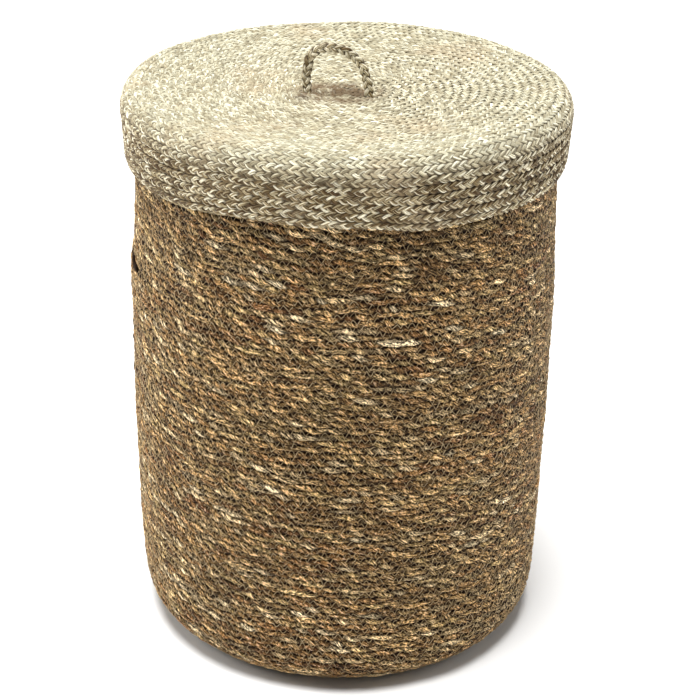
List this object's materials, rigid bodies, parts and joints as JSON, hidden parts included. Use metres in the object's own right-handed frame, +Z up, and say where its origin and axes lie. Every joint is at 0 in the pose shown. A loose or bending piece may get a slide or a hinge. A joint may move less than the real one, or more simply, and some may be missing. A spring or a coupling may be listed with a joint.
{
  "type": "woven laundry basket",
  "caption": "Tall round woven laundry basket coiled from seagrass cord, with two hand slots and a cap-shaped braided lid that lifts off by a loop handle.",
  "frame": {"origin": "centre of the flat underside, on the floor, on the basket's axis", "axes": "+Z up along the basket's axis, -Y to the front, the loop handle's span nearly along X"},
  "size_m": [0.4, 0.4, 0.5606],
  "materials": {
    "seagrass_cord": "matt dried seagrass",
    "jute_braid": "matt bleached jute",
    "jute_handle": "matt bleached jute"
  },
  "bodies": {
    "basket": {"base_coil": "seagrass_cord", "corner_coil": "seagrass_cord", "wall_lower_coil": "seagrass_cord", "wall_slot_coil": "seagrass_cord", "wall_upper_coil": "seagrass_cord", "rim_row": "seagrass_cord"},
    "lid": {"lid_top_coil": "jute_braid", "lid_edge_coil": "jute_braid", "lid_skirt_coil": "jute_braid", "lid_hem_row": "jute_braid", "handle_end_left": "jute_handle", "handle_end_right": "jute_handle"},
    "handle": {"handle_loop": "jute_handle"}
  },
  "joints": [
    {"name": "lid_lift", "type": "slide", "parent": "basket", "child": "lid", "axis": [0, 0, 1], "range_m": [0, 0.12]},
    {"name": "loop_bend", "type": "hinge", "parent": "lid", "child": "handle", "pos_m": [-0.008, -0.014, 0.51816], "axis": [0.9744, -0.225, 0], "range_deg": [-70, 70], "stiffness_Nm_per_rad": 0.02}
  ]
}
